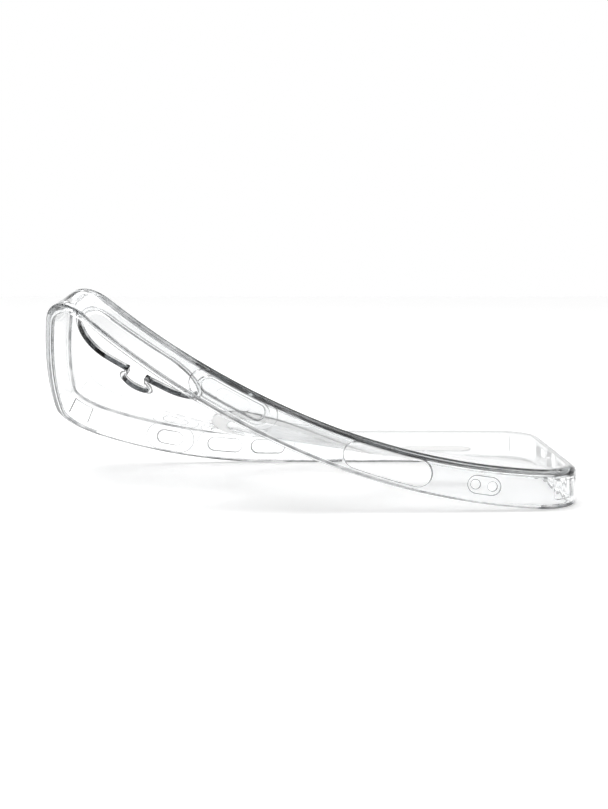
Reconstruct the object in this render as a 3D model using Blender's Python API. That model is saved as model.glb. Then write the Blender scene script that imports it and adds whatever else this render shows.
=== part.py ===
"""A clear, flexible phone case with a magnet ring in its back, shown half peeled off its phone.

Every piece is drawn flat, in millimetres, with the phone's plan centre at the origin, +X along the
phone towards its charging port, +Y across it towards the volume buttons, and Z = 0 on the phone's
screen, which faces the floor. Then every piece is flexed by the same peel: the sheet of the back
rolls up off the phone about a slanting fold line, and the walls go with it. Last, the whole case is
centred over the origin with its lowest lip on the floor, and written in metres.
"""

import math

import bmesh
import bpy
from mathutils import Vector

MM = 0.001

# ---- the phone the case fits, and the case's overall sizes (mm)
PHONE_LENGTH = 147.6
PHONE_WIDTH = 71.6
PHONE_THICKNESS = 7.8
PHONE_CORNER = 11.5  # radius of the phone's corners in plan
WALL = 1.7  # side wall, measured out from the phone's side
BACK = 1.6  # back sheet
LIP_DROP = 1.0  # the front lip stands this far past the screen
LIP_INSET = 0.8  # and reaches this far in over its edge
FIT = 0.1  # room between the phone and the case's inside
EDGE_RADIUS = 2.0  # rounding where the back meets the walls
LIP_RADIUS = 0.7
LIP_EASE = 0.3  # chamfer of the lip's inner edge
INNER_RADIUS = 1.0
SEAM = 1.0  # the soft rim wraps this far in over the phone's back
TONGUE = 0.8  # the back sheet's tongue, gripped by the rim's groove
TONGUE_COVER = 0.5  # of rim over and under the tongue
GAP = 0.1  # room left between two moulded or laminated pieces
OVERCUT = 0.5  # a cutter runs this far past the face it opens

# ---- the peel
FOLD_AT = 73.3  # where the fold line crosses the phone's near long side
FOLD_ANGLE = math.radians(48.6)  # how far the roll's heading turns from the case's length
FIRST_ARC = 48.2  # length of sheet in the first, tighter part of the roll
FIRST_TURN = math.radians(34.6)
LATER_RADIUS = 93.8  # radius of the rest of the roll
SLICE = 4.0  # spacing of the lines the sheet is rolled along

# ---- camera opening
CAMERA_LENGTH = 39.4
CAMERA_WIDTH = 19.2
CAMERA_TO_TOP = 2.9  # from the opening to the phone's top end
CAMERA_TO_SIDE = 6.5  # and to its near long side
CAMERA_RIM = 1.3
CAMERA_RIM_HEIGHT = 0.5
FLASH_DIAMETER = 8.3
FLASH_STEP = 6.1  # from the camera opening's long edge to the flash hole's centre
FLASH_NECK = 5.4  # width of the neck that joins the two

# ---- magnets
RING_OUTER = 53.0
RING_INNER = 45.6
MAGNETS = 18
MAGNET_GAP = 0.5
MAGNET_THICKNESS = 0.6
FILM = 0.2
FILM_BORDER = 0.4  # the white film stands out past the magnets on each side
BAR_GAP = 3.0  # between the ring's film and the bar's
BAR_LENGTH = 20.0
BAR_WIDTH = 7.4

# ---- button covers: each centre's distance from the phone's top end, and each raised pill's length
POWER_FROM_TOP = 54.4
POWER_LENGTH = 18.4
VOLUME_UP_FROM_TOP = 49.2
VOLUME_DOWN_FROM_TOP = 62.9
VOLUME_LENGTH = 11.0
ACTION_FROM_TOP = 31.8
ACTION_LENGTH = 8.4
GROOVE_BORDER = 3.2  # the groove round a button runs this far past each end of the pill
GROOVE_WIDTH = 8.3
GROOVE_DEPTH = 0.45
BUTTON_WIDTH = 4.6
BUTTON_PROUD = 0.35  # past the wall's outer face
BUTTON_ROOM = 0.25  # all round the pill, in its window
BUTTON_TRAVEL = 0.4
FLANGE_BORDER = 0.9  # the button's hidden flange stands out past the pill
FLANGE = 0.3
BUTTON_EASE = 0.25  # chamfer round the pill's outer edge
PAD_WIDTH = 3.8
PAD_SHARE = 0.52  # of the raised pill's length
PAD_PROUD = 0.3  # past the flange, towards the phone's own button

# ---- openings in the walls
CONTROL_FROM_TOP = 97.5
CONTROL_LENGTH = 23.2
CONTROL_WIDTH = 7.2
STRAP_FROM_BOTTOM = 24.7
STRAP_LENGTH = 8.3
STRAP_WIDTH = 4.5
STRAP_DEPTH = 0.5
STRAP_HOLE = 2.4
STRAP_SPACING = 4.4
PORT_LENGTH = 13.0
PORT_WIDTH = 6.2
SPEAKER_MARGIN = 1.9  # wall left between a speaker slot and the port, and before the corner
SPEAKER_WIDTH = 3.4
POCKET_DEPTH = 0.8  # air pocket inside each corner
POCKET_HEIGHT = 5.0
POCKET_HALF_ANGLE = math.radians(18)

# ---- how finely round things are cut
CORNER_STEPS = 9
PILL_STEPS = 8
CAMERA_STEPS = 14
RING_STEPS = 72

# ---- worked out from the above
HALF_LENGTH = PHONE_LENGTH / 2
HALF_WIDTH = PHONE_WIDTH / 2
MIDDLE = PHONE_THICKNESS / 2  # height of every side feature over the screen
INNER_Z = PHONE_THICKNESS + FIT / 2
OUTER_Z = INNER_Z + BACK
TONGUE_LOW = INNER_Z + TONGUE_COVER
TONGUE_HIGH = OUTER_Z - TONGUE_COVER
CAMERA_CENTRE = (
    CAMERA_TO_TOP + CAMERA_LENGTH / 2 - HALF_LENGTH,
    CAMERA_TO_SIDE + CAMERA_WIDTH / 2 - HALF_WIDTH,
)
FLASH_CENTRE = (CAMERA_CENTRE[0], CAMERA_CENTRE[1] + CAMERA_WIDTH / 2 + FLASH_STEP)
RING_LOW = RING_INNER / 2
RING_HIGH = RING_OUTER / 2
BAR_CENTRE = (RING_HIGH + FILM_BORDER + BAR_GAP + BAR_LENGTH / 2, 0)
FILM_RECESS = FILM + GAP
MAGNET_LOW = INNER_Z + FILM_RECESS
CORNER_SIGNS = ((1, 1), (-1, 1), (-1, -1), (1, -1))  # each corner of the plan, counter-clockwise
BUTTONS = (
    # name, the side its wall is on, centre along the phone, pill length
    ("power_button_cover", -1, POWER_FROM_TOP - HALF_LENGTH, POWER_LENGTH),
    ("volume_up_cover", 1, VOLUME_UP_FROM_TOP - HALF_LENGTH, VOLUME_LENGTH),
    ("volume_down_cover", 1, VOLUME_DOWN_FROM_TOP - HALF_LENGTH, VOLUME_LENGTH),
    ("action_button_cover", 1, ACTION_FROM_TOP - HALF_LENGTH, ACTION_LENGTH),
)


def clear_scene():
    for item in list(bpy.data.objects):
        bpy.data.objects.remove(item, do_unlink=True)
    for mesh in list(bpy.data.meshes):
        bpy.data.meshes.remove(mesh)


# ---------------------------------------------------------------- outlines
def rounded_rectangle(outset):
    """The phone's plan outline, stood off by outset, counter-clockwise."""
    half_x, half_y = HALF_LENGTH + outset, HALF_WIDTH + outset
    radius = PHONE_CORNER + outset
    points = []
    for quarter, (sx, sy) in enumerate(CORNER_SIGNS):
        for step in range(CORNER_STEPS + 1):
            angle = math.pi / 2 * (quarter + step / CORNER_STEPS)
            points.append(
                (
                    sx * (half_x - radius) + radius * math.cos(angle),
                    sy * (half_y - radius) + radius * math.sin(angle),
                )
            )
    return points


def pill(centre, length, width, steps=PILL_STEPS):
    """A slot with round ends, counter-clockwise, lying along its first axis."""
    radius = width / 2
    reach = length / 2 - radius
    points = []
    for side, start in ((1, -math.pi / 2), (-1, math.pi / 2)):
        for step in range(steps + 1):
            angle = start + math.pi * step / steps
            points.append(
                (
                    centre[0] + side * reach + radius * math.cos(angle),
                    centre[1] + radius * math.sin(angle),
                )
            )
    return points


def circle(centre, diameter, steps=24):
    return [
        (
            centre[0] + diameter / 2 * math.cos(2 * math.pi * step / steps),
            centre[1] + diameter / 2 * math.sin(2 * math.pi * step / steps),
        )
        for step in range(steps)
    ]


def sector(centre, inner, outer, start, end, steps):
    """A slice of a flat ring between two angles."""
    points = []
    for step in range(steps + 1):
        angle = start + (end - start) * step / steps
        points.append((centre[0] + outer * math.cos(angle), centre[1] + outer * math.sin(angle)))
    for step in range(steps + 1):
        angle = end + (start - end) * step / steps
        points.append((centre[0] + inner * math.cos(angle), centre[1] + inner * math.sin(angle)))
    return points


# ---------------------------------------------------------------- solids
def loft(name, rings, closed=False):
    """One solid skinned over rings of the same count: capped at its two ends, or joined into a hoop."""
    bm = bmesh.new()
    rows = [[bm.verts.new(point) for point in ring] for ring in rings]
    count = len(rows[0])
    pairs = list(zip(rows, rows[1:]))
    if closed:
        pairs.append((rows[-1], rows[0]))
    for low, high in pairs:
        for i in range(count):
            j = (i + 1) % count
            bm.faces.new((low[i], low[j], high[j], high[i]))
    if not closed:
        bm.faces.new(rows[0])
        bm.faces.new(rows[-1])
    bmesh.ops.recalc_face_normals(bm, faces=bm.faces[:])
    mesh = bpy.data.meshes.new(name)
    bm.to_mesh(mesh)
    bm.free()
    made = bpy.data.objects.new(name, mesh)
    bpy.context.scene.collection.objects.link(made)
    return made


def upright(name, outline, low, high):
    """A prism standing on a plan outline."""
    return loft(name, [[(x, y, z) for x, y in outline] for z in (low, high)])


def across(name, outline, near, far):
    """A prism through a long wall: the outline is (along the phone, height)."""
    return loft(name, [[(x, y, z) for x, z in outline] for y in (near, far)])


def along(name, outline, near, far):
    """A prism through an end wall: the outline is (across the phone, height)."""
    return loft(name, [[(x, y, z) for y, z in outline] for x in (near, far)])


def combine(target, operation, tools):
    """Cuts away, or adds on, each tool in turn, and removes the tools."""
    for tool in tools:
        step = target.modifiers.new(tool.name, "BOOLEAN")
        step.solver = "EXACT"
        step.operation = operation
        step.object = tool
    bpy.context.view_layer.update()
    graph = bpy.context.evaluated_depsgraph_get()
    mesh = bpy.data.meshes.new_from_object(target.evaluated_get(graph))
    target.modifiers.clear()
    old = target.data
    target.data = mesh
    bpy.data.meshes.remove(old)
    for tool in tools:
        data = tool.data
        bpy.data.objects.remove(tool, do_unlink=True)
        bpy.data.meshes.remove(data)
    return target


# ---------------------------------------------------------------- the peel
HEADING = Vector((-math.cos(FOLD_ANGLE), -math.sin(FOLD_ANGLE), 0))
FOLD_LINE = Vector((-math.sin(FOLD_ANGLE), math.cos(FOLD_ANGLE), 0))
FOLD_POINT = Vector((FOLD_AT, -HALF_WIDTH, OUTER_Z))
FIRST_RADIUS = FIRST_ARC / FIRST_TURN
UP = Vector((0, 0, 1))


def rolled(point):
    """Where a point of the flat case goes. The back's outer face is the layer that keeps its length."""
    offset = Vector(point) - FOLD_POINT
    run = offset.dot(HEADING)
    if run <= 0:
        return Vector(point)
    side = offset.dot(FOLD_LINE)
    turn = min(run / FIRST_RADIUS, FIRST_TURN)
    reach = FIRST_RADIUS * math.sin(turn)
    lift = FIRST_RADIUS * (1 - math.cos(turn))
    if run > FIRST_ARC:
        turn += (run - FIRST_ARC) / LATER_RADIUS
        reach += LATER_RADIUS * (math.sin(turn) - math.sin(FIRST_TURN))
        lift += LATER_RADIUS * (math.cos(FIRST_TURN) - math.cos(turn))
    reach -= offset.z * math.sin(turn)
    lift += offset.z * math.cos(turn)
    return FOLD_POINT + HEADING * reach + FOLD_LINE * side + UP * lift


def flex(item):
    """Slices the flat piece along the roll's lines, then rolls it."""
    bm = bmesh.new()
    bm.from_mesh(item.data)
    runs = [(v.co - FOLD_POINT).dot(HEADING) for v in bm.verts]
    line = max(0.0, SLICE * math.ceil(min(runs) / SLICE))
    while line < max(runs):
        bmesh.ops.bisect_plane(
            bm,
            geom=bm.verts[:] + bm.edges[:] + bm.faces[:],
            dist=1e-4,
            plane_co=FOLD_POINT + HEADING * line,
            plane_no=HEADING,
        )
        line += SLICE
    bmesh.ops.remove_doubles(bm, verts=bm.verts[:], dist=1e-3)
    bmesh.ops.triangulate(bm, faces=bm.faces[:])
    for vert in bm.verts:
        vert.co = rolled(vert.co)
    bmesh.ops.recalc_face_normals(bm, faces=bm.faces[:])
    bm.to_mesh(item.data)
    bm.free()


# ---------------------------------------------------------------- the soft rim
def arc(centre, radius, start, end, steps):
    return [
        (
            centre[0] + radius * math.cos(math.radians(start + (end - start) * step / steps)),
            centre[1] + radius * math.sin(math.radians(start + (end - start) * step / steps)),
        )
        for step in range(steps + 1)
    ]


def rim_section():
    """The rim cut across: (out from the phone's side, height), once round."""
    groove_end = TONGUE + GAP - SEAM
    return (
        [(-SEAM, OUTER_Z)]
        + arc((WALL - EDGE_RADIUS, OUTER_Z - EDGE_RADIUS), EDGE_RADIUS, 90, 0, 5)
        + arc((WALL - LIP_RADIUS, LIP_RADIUS - LIP_DROP), LIP_RADIUS, 0, -90, 3)
        + [
            (LIP_EASE - LIP_INSET, -LIP_DROP),
            (-LIP_INSET, LIP_EASE - LIP_DROP),
            (-LIP_INSET, -FIT / 2),
            (FIT, -FIT / 2),
        ]
        + arc((FIT - INNER_RADIUS, INNER_Z - INNER_RADIUS), INNER_RADIUS, 0, 90, 3)
        + [
            (-SEAM, INNER_Z),
            (-SEAM, TONGUE_LOW - GAP),
            (groove_end, TONGUE_LOW - GAP),
            (groove_end, TONGUE_HIGH + GAP),
            (-SEAM, TONGUE_HIGH + GAP),
        ]
    )


def wall_face(side):
    """Where the long wall's outer face stands."""
    return side * (HALF_WIDTH + WALL)


def button_cutters():
    """A groove round each button (one for both volume buttons), a window for its pill, a pocket for its flange."""
    reach = {name: (side, centre, length) for name, side, centre, length in BUTTONS}
    tools = []
    for first, last in (
        ("power_button_cover", "power_button_cover"),
        ("volume_up_cover", "volume_down_cover"),
        ("action_button_cover", "action_button_cover"),
    ):
        side = reach[first][0]
        low = reach[first][1] - reach[first][2] / 2 - GROOVE_BORDER
        high = reach[last][1] + reach[last][2] / 2 + GROOVE_BORDER
        face = wall_face(side)
        outline = pill(((low + high) / 2, MIDDLE), high - low, GROOVE_WIDTH)
        tools.append(across("groove", outline, face + side, face - side * GROOVE_DEPTH))
    for _name, side, centre, length in BUTTONS:
        inside = side * (HALF_WIDTH - OVERCUT)
        window = pill((centre, MIDDLE), length + 2 * BUTTON_ROOM, BUTTON_WIDTH + 2 * BUTTON_ROOM)
        tools.append(across("window", window, wall_face(side) + side, inside))
        grow = 2 * (FLANGE_BORDER + BUTTON_ROOM)
        pocket = pill((centre, MIDDLE), length + grow, BUTTON_WIDTH + grow)
        tools.append(across("pocket", pocket, inside, side * (flange_back() + FLANGE + GAP)))
    return tools


def wall_cutters():
    """The openings in the near wall and in the end wall."""
    near = wall_face(-1)
    through = OVERCUT - HALF_WIDTH
    strap = HALF_LENGTH - STRAP_FROM_BOTTOM
    control = pill((CONTROL_FROM_TOP - HALF_LENGTH, MIDDLE), CONTROL_LENGTH, CONTROL_WIDTH)
    recess = pill((strap, MIDDLE), STRAP_LENGTH, STRAP_WIDTH)
    tools = [
        across("control", control, near - 1, through),
        across("strap", recess, near - 1, near + STRAP_DEPTH),
    ]
    end = HALF_LENGTH + WALL + 1
    inside = HALF_LENGTH - OVERCUT
    tools.append(along("port", pill((0, MIDDLE), PORT_LENGTH, PORT_WIDTH), end, inside))
    straight = HALF_WIDTH - PHONE_CORNER
    slot = straight - PORT_LENGTH / 2 - 2 * SPEAKER_MARGIN
    for side in (-1, 1):
        hole = circle((strap + side * STRAP_SPACING / 2, MIDDLE), STRAP_HOLE, 16)
        tools.append(across("strap_hole", hole, near - 1, through))
        place = side * (PORT_LENGTH / 2 + straight) / 2
        tools.append(along("speaker", pill((place, MIDDLE), slot, SPEAKER_WIDTH), end, inside))
    return tools


def corner_cutters():
    """The air pocket inside each corner."""
    tools = []
    for quarter, (sx, sy) in enumerate(CORNER_SIGNS):
        centre = (sx * (HALF_LENGTH - PHONE_CORNER), sy * (HALF_WIDTH - PHONE_CORNER))
        heading = math.pi / 2 * quarter + math.pi / 4
        outline = sector(
            centre,
            PHONE_CORNER - OVERCUT,
            PHONE_CORNER + FIT + POCKET_DEPTH,
            heading - POCKET_HALF_ANGLE,
            heading + POCKET_HALF_ANGLE,
            6,
        )
        tools.append(upright("air", outline, MIDDLE - POCKET_HEIGHT / 2, MIDDLE + POCKET_HEIGHT / 2))
    return tools


def build_rim():
    plan = [[(x, y, z) for x, y in rounded_rectangle(out)] for out, z in rim_section()]
    rim = loft("bumper_frame", plan, closed=True)
    return combine(rim, "DIFFERENCE", button_cutters() + wall_cutters() + corner_cutters())


# ---------------------------------------------------------------- the back sheet
def hoop(name, inner, outer, low, high):
    """A flat ring round the phone's centre."""
    corners = ((inner, low), (outer, low), (outer, high), (inner, high))
    rings = [[(x, y, z) for x, y in circle((0, 0), 2 * radius, RING_STEPS)] for radius, z in corners]
    return loft(name, rings, closed=True)


def neck(out):
    """The neck from the camera opening to the flash hole, widened on both sides by out."""
    middle = (CAMERA_CENTRE[1] + FLASH_CENTRE[1]) / 2
    reach = (FLASH_CENTRE[1] - CAMERA_CENTRE[1]) / 2
    half = FLASH_NECK / 2 + out
    return [(FLASH_CENTRE[0] + x * half, middle + y * reach) for x, y in ((-1, -1), (1, -1), (1, 1), (-1, 1))]


def camera_rims():
    """The low raised edges round the camera opening, the flash hole and the neck between them."""
    steps = (
        (CAMERA_RIM, OUTER_Z - CAMERA_RIM_HEIGHT),
        (CAMERA_RIM, OUTER_Z + CAMERA_RIM_HEIGHT / 2),
        (CAMERA_RIM - CAMERA_RIM_HEIGHT / 2, OUTER_Z + CAMERA_RIM_HEIGHT),
    )
    camera = []
    flash = []
    joined = []
    for out, z in steps:
        outline = pill(CAMERA_CENTRE, CAMERA_LENGTH + 2 * out, CAMERA_WIDTH + 2 * out, CAMERA_STEPS)
        camera.append([(x, y, z) for x, y in outline])
        outline = circle(FLASH_CENTRE, FLASH_DIAMETER + 2 * out, 2 * CAMERA_STEPS)
        flash.append([(x, y, z) for x, y in outline])
        joined.append([(x, y, z) for x, y in neck(out)])
    return [loft("camera_rim", camera), loft("flash_rim", flash), loft("neck_rim", joined)]


def build_back():
    edge = -SEAM - GAP
    levels = (
        (edge, OUTER_Z),
        (edge, TONGUE_HIGH),
        (edge + TONGUE, TONGUE_HIGH),
        (edge + TONGUE, TONGUE_LOW),
        (edge, TONGUE_LOW),
        (edge, INNER_Z),
    )
    back = loft("back_panel", [[(x, y, z) for x, y in rounded_rectangle(out)] for out, z in levels])
    combine(back, "UNION", camera_rims())
    over = OUTER_Z + 2
    under = INNER_Z - 1
    opening = pill(CAMERA_CENTRE, CAMERA_LENGTH, CAMERA_WIDTH, CAMERA_STEPS)
    tools = [
        upright("camera", opening, under, over),
        upright("flash", circle(FLASH_CENTRE, FLASH_DIAMETER, 2 * CAMERA_STEPS), under, over),
        upright("neck", neck(0), under, over),
    ]
    for grow, low, high in (
        (GAP - FILM_BORDER, under, MAGNET_LOW + MAGNET_THICKNESS + GAP),
        (GAP, under, INNER_Z + FILM_RECESS),
        (GAP, OUTER_Z - FILM_RECESS, over),
    ):
        tools.append(hoop("ring_room", film_low() - grow, film_high() + grow, low, high))
        outline = pill(BAR_CENTRE, BAR_LENGTH + 2 * grow, BAR_WIDTH + 2 * grow)
        tools.append(upright("bar_room", outline, low, high))
    return combine(back, "DIFFERENCE", tools)


# ---------------------------------------------------------------- magnets and the film over them
def film_low():
    return RING_LOW - FILM_BORDER


def film_high():
    return RING_HIGH + FILM_BORDER


def build_films():
    made = []
    for side, low in (("inner", INNER_Z), ("outer", OUTER_Z - FILM)):
        made.append(hoop("ring_cover_" + side, film_low(), film_high(), low, low + FILM))
        outline = pill(BAR_CENTRE, BAR_LENGTH, BAR_WIDTH)
        made.append(upright("bar_cover_" + side, outline, low, low + FILM))
    return made


def build_magnets():
    high = MAGNET_LOW + MAGNET_THICKNESS
    outline = pill(BAR_CENTRE, BAR_LENGTH - 2 * FILM_BORDER, BAR_WIDTH - 2 * FILM_BORDER)
    made = [upright("bar_magnet", outline, MAGNET_LOW, high)]
    share = 2 * math.pi / MAGNETS
    trim = MAGNET_GAP / (RING_LOW + RING_HIGH)
    for number in range(MAGNETS):
        start = share * number + trim
        end = share * (number + 1) - trim
        outline = sector((0, 0), RING_LOW, RING_HIGH, start, end, RING_STEPS // MAGNETS)
        made.append(upright(f"magnet_{number + 1:02d}", outline, MAGNET_LOW, high))
    return made


# ---------------------------------------------------------------- the button covers
def flange_back():
    """How far out from the phone's middle a button's flange starts, with room behind it to be pressed."""
    return HALF_WIDTH + FIT + BUTTON_TRAVEL


def build_button(name, side, centre, length):
    """A raised pill, a flange behind the wall that keeps it in, and a pad that presses the phone's button."""
    front = flange_back() + FLANGE
    tip = HALF_WIDTH + WALL + BUTTON_PROUD
    rings = []
    for out, distance in (
        (FLANGE_BORDER, flange_back()),
        (FLANGE_BORDER, front),
        (0, front),
        (0, tip - BUTTON_EASE),
        (-BUTTON_EASE, tip),
    ):
        outline = pill((centre, MIDDLE), length + 2 * out, BUTTON_WIDTH + 2 * out)
        rings.append([(x, side * distance, z) for x, z in outline])
    button = loft(name, rings)
    outline = pill((centre, MIDDLE), max(length * PAD_SHARE, PAD_WIDTH + 1), PAD_WIDTH)
    pad = across("pad", outline, side * (flange_back() - PAD_PROUD), side * (front - FLANGE / 3))
    return combine(button, "UNION", [pad])


# ---------------------------------------------------------------- finishes
def finish(name, colour, roughness, metallic=0.0, clear=0.0):
    """A plain plastic or metal. Clear runs from 0, opaque, to 1, like glass."""
    made = bpy.data.materials.new(name)
    made.use_nodes = True
    shader = made.node_tree.nodes["Principled BSDF"]
    shader.inputs["Base Color"].default_value = (*colour, 1)
    shader.inputs["Roughness"].default_value = roughness
    shader.inputs["Metallic"].default_value = metallic
    shader.inputs["Transmission Weight"].default_value = clear
    return made


def dress(made):
    clear_soft = finish("clear_soft", (0.93, 0.94, 0.95), 0.12, clear=0.9)
    clear_hard = finish("clear_hard", (0.96, 0.97, 0.98), 0.05, clear=0.95)
    white_film = finish("white_film", (0.93, 0.93, 0.93), 0.45)
    magnet = finish("magnet", (0.62, 0.62, 0.64), 0.3, metallic=1.0)
    for item in made:
        if item.name == "back_panel":
            coat = clear_hard
        elif "magnet" in item.name:
            coat = magnet
        elif item.name.startswith(("ring_cover", "bar_cover")):
            coat = white_film
        else:
            coat = clear_soft
        item.data.materials.append(coat)


# ---------------------------------------------------------------- the whole
def origins():
    """Where a piece's own origin goes: a button's on the line it is pressed along."""
    return {
        name: rolled((centre, side * (HALF_WIDTH + WALL), MIDDLE))
        for name, side, centre, _length in BUTTONS
    }


def main():
    clear_scene()
    made = [build_rim(), build_back(), *build_films(), *build_magnets()]
    made += [build_button(*button) for button in BUTTONS]
    dress(made)
    for item in made:
        flex(item)
    points = [vert.co for item in made for vert in item.data.vertices]
    low = [min(point[axis] for point in points) for axis in range(3)]
    high = [max(point[axis] for point in points) for axis in range(3)]
    stand = Vector((-(low[0] + high[0]) / 2, -(low[1] + high[1]) / 2, -low[2]))
    case = bpy.data.objects.new("phone_case", None)
    bpy.context.scene.collection.objects.link(case)
    places = origins()
    for item in made:
        place = places.get(item.name, -stand)
        for vert in item.data.vertices:
            vert.co = (vert.co - place) * MM
        item.location = (place + stand) * MM
        item.parent = case
        item.data.shade_smooth()
        item.data.set_sharp_from_angle(angle=math.radians(30))


main()
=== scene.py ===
"""Looks of the clear, half-peeled phone case: finer pieces, finishes, floor, light and camera.

Each piece is drawn flat, in millimetres, with the phone's plan centre at the origin, +X along the
phone towards its charging port, +Y towards the volume buttons and Z = 0 on the screen. It is then
sliced, rolled up by the same peel as the packed case, and moved onto it in metres.
"""

import math
from types import SimpleNamespace

import bmesh
import bpy
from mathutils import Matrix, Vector


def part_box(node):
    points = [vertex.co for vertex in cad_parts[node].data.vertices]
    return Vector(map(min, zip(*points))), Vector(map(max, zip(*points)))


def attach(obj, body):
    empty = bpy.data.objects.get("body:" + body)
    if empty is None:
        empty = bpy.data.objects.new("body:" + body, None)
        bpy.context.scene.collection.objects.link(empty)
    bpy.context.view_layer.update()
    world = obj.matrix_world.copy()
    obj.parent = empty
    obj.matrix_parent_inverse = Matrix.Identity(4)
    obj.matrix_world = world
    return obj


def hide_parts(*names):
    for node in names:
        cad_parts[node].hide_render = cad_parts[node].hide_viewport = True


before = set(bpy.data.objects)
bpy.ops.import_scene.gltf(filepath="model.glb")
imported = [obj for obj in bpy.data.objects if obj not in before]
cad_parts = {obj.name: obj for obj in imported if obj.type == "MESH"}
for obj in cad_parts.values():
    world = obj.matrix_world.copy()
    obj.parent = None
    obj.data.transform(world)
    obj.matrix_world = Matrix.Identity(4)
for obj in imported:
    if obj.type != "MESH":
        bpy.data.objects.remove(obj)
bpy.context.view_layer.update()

bl_info = {
    "name": "Clear Phone Case",
    "version": (1, 0, 0),
    "blender": (4, 5, 0),
    "location": "View3D > Sidebar > Phone Case",
    "description": "Builds a clear phone case with a magnet ring, flexed off its phone, and its studio",
    "category": "Add Mesh",
}

MM = 0.001
UP = Vector((0, 0, 1))
PLAIN, ROUNDED, CUT = range(3)  # kinds of face: flat, rounded edge, and wall of an opening; they get no, half and full painted edge shade
CORNER_SIGNS = ((1, 1), (-1, 1), (-1, -1), (1, -1))  # the plan's corners, counter-clockwise
SQUARE_ON = 0.99  # a face whose normal leans this much along an axis counts as square to it
OVERCUT = 1.0  # millimetres that a cutter runs past the face it opens
WELD = 1e-4  # millimetres within which points are one
WHITE = (1, 1, 1, 1)
OVERHEAD_FADE = (0.15, 0.4)  # height in the surroundings, from 0 to 1, over which they darken
SIDE_FADE = (0.35, 0.55)  # the same to the left and right
WINDOW_SPREAD = 50  # degrees of sky that the window light fills
WINDOW_TURN = (-25, -20, 0)  # degrees about X, Y and Z
LAMP_PLACE = (-0.05, 0.05, 0.6)  # metres
LAMP_SIZE = (1.2, 0.35)  # metres
LIGHT_BOUNCES = 32
GLOSS_BOUNCES = 16
CAMERA_PLACE = (0.001528, -0.342704, 0.067739)  # metres
SENSOR_WIDTH = 36  # millimetres


# ---------------------------------------------------------------- properties
def size(name, description, millimetres):
    """A length that the sidebar shows in the scene's units."""
    return bpy.props.FloatProperty(
        name=name,
        description=description,
        default=millimetres * MM,
        precision=5,
        subtype="DISTANCE",
        unit="LENGTH",
    )


def turn(name, description, degrees):
    return bpy.props.FloatProperty(
        name=name, description=description, default=math.radians(degrees), subtype="ANGLE", unit="ROTATION"
    )


def number(name, description, value):
    return bpy.props.IntProperty(name=name, description=description, default=value, min=1)


def amount(name, description, value, most=1.0):
    return bpy.props.FloatProperty(
        name=name, description=description, default=value, min=0.0, max=most, precision=4
    )


def tint(name, description, colour):
    return bpy.props.FloatVectorProperty(
        name=name, description=description, default=colour, size=3, min=0.0, max=1.0, subtype="COLOR"
    )


class CaseBodySizes(bpy.types.PropertyGroup):
    """The phone that the case fits, and the case's walls."""

    phone_length: size("Phone length", "Length of the phone", 147.6)
    phone_width: size("Phone width", "Width of the phone", 71.6)
    phone_thickness: size("Phone thickness", "Thickness of the phone", 7.8)
    phone_corner: size("Corner radius", "Radius of the phone's corners in plan", 11.5)
    wall: size("Wall", "Side wall, measured out from the phone's side", 1.7)
    back: size("Back", "Thickness of the back sheet", 1.6)
    fit: size("Fit", "Room between the phone and the case's inside", 0.1)
    lip_drop: size("Lip drop", "How far the front lip stands past the screen", 1.0)
    lip_inset: size("Lip inset", "How far the front lip reaches in over the screen's edge", 0.8)
    lip_radius: size("Lip rounding", "Rounding of the lip's outer edge", 0.7)
    lip_ease: size("Lip inner rounding", "Rounding of the lip's inner edge", 0.3)
    edge_radius: size("Edge rounding", "Rounding where the back meets the walls", 2.0)
    inner_radius: size("Inner rounding", "Rounding of the corner inside the walls", 1.0)
    seam: size("Seam inset", "How far the soft rim wraps in over the phone's back", 1.0)
    tongue: size("Tongue", "How far the back sheet's tongue reaches into the rim's groove", 0.8)
    tongue_cover: size("Tongue cover", "Rim left over and under the tongue", 0.5)
    gap: size("Gap", "Room left between two neighbouring pieces", 0.1)


class CasePeelSizes(bpy.types.PropertyGroup):
    """How the flexible case rolls up off the phone."""

    fold_at: size("Fold place", "Where the fold line crosses the near long side, from the middle", 73.3)
    fold_angle: turn("Fold angle", "Turn of the roll's heading from the case's length", 48.6)
    first_arc: size("First arc", "Length of sheet in the first, tighter part of the roll", 48.2)
    first_turn: turn("First turn", "Turn over the first arc", 34.6)
    later_radius: size("Later radius", "Radius of the rest of the roll", 93.8)
    slice: size("Slice", "Spacing of the lines that the sheet is rolled along", 1.6)


class CaseCameraSizes(bpy.types.PropertyGroup):
    """The camera opening, the flash hole beside it and the raised edge round both."""

    camera_length: size("Camera length", "Length of the camera opening", 39.4)
    camera_width: size("Camera width", "Width of the camera opening", 19.2)
    camera_to_top: size("Camera to top", "From the opening to the phone's top end", 2.9)
    camera_to_side: size("Camera to side", "From the opening to the phone's near long side", 6.5)
    camera_rim: size("Raised edge width", "Width of the raised edge round the opening", 1.3)
    camera_rim_height: size("Raised edge height", "Height of the raised edge over the back", 0.5)
    camera_round: size("Opening rounding", "Rounding of the opening's edges", 0.3)
    flash_diameter: size("Flash hole", "Diameter of the flash hole", 8.3)
    flash_step: size("Flash step", "From the opening's long edge to the flash hole's centre", 6.1)
    flash_neck: size("Flash neck", "Width of the neck that joins the two", 5.4)


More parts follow.
